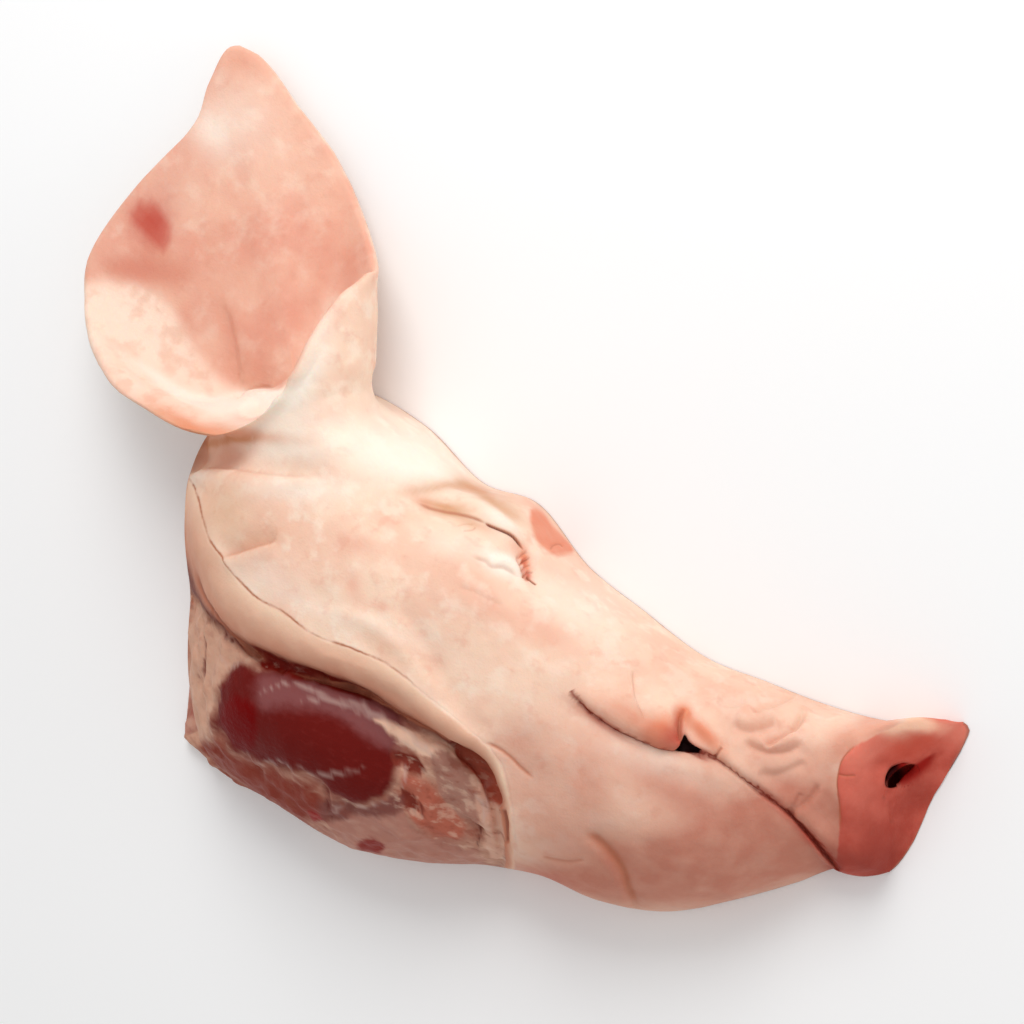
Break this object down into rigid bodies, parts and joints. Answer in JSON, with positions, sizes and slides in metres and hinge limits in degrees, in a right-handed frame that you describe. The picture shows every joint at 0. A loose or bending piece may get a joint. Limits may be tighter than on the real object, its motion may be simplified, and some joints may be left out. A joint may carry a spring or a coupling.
{
  "type": "frozen pig head half",
  "caption": "Right half of a pig's head, sawn down the middle, with ear, snout disc and a jowl cut away to the cheek muscle; lies on its flat sawn face.",
  "frame": {"origin": "centre of the bounding box's bottom face, in the plane of the sawn face", "axes": "+X from the neck to the snout, +Y from the throat to the forehead, +Z out of the cheek, away from the sawn face"},
  "size_m": [0.4444, 0.2918, 0.0848],
  "materials": {
    "skin": "satin, pale scalded skin with pink patches; dark red muscle and cream fat where it is cut"
  },
  "bodies": {
    "root": {"pig_head": "skin"}
  },
  "joints": []
}
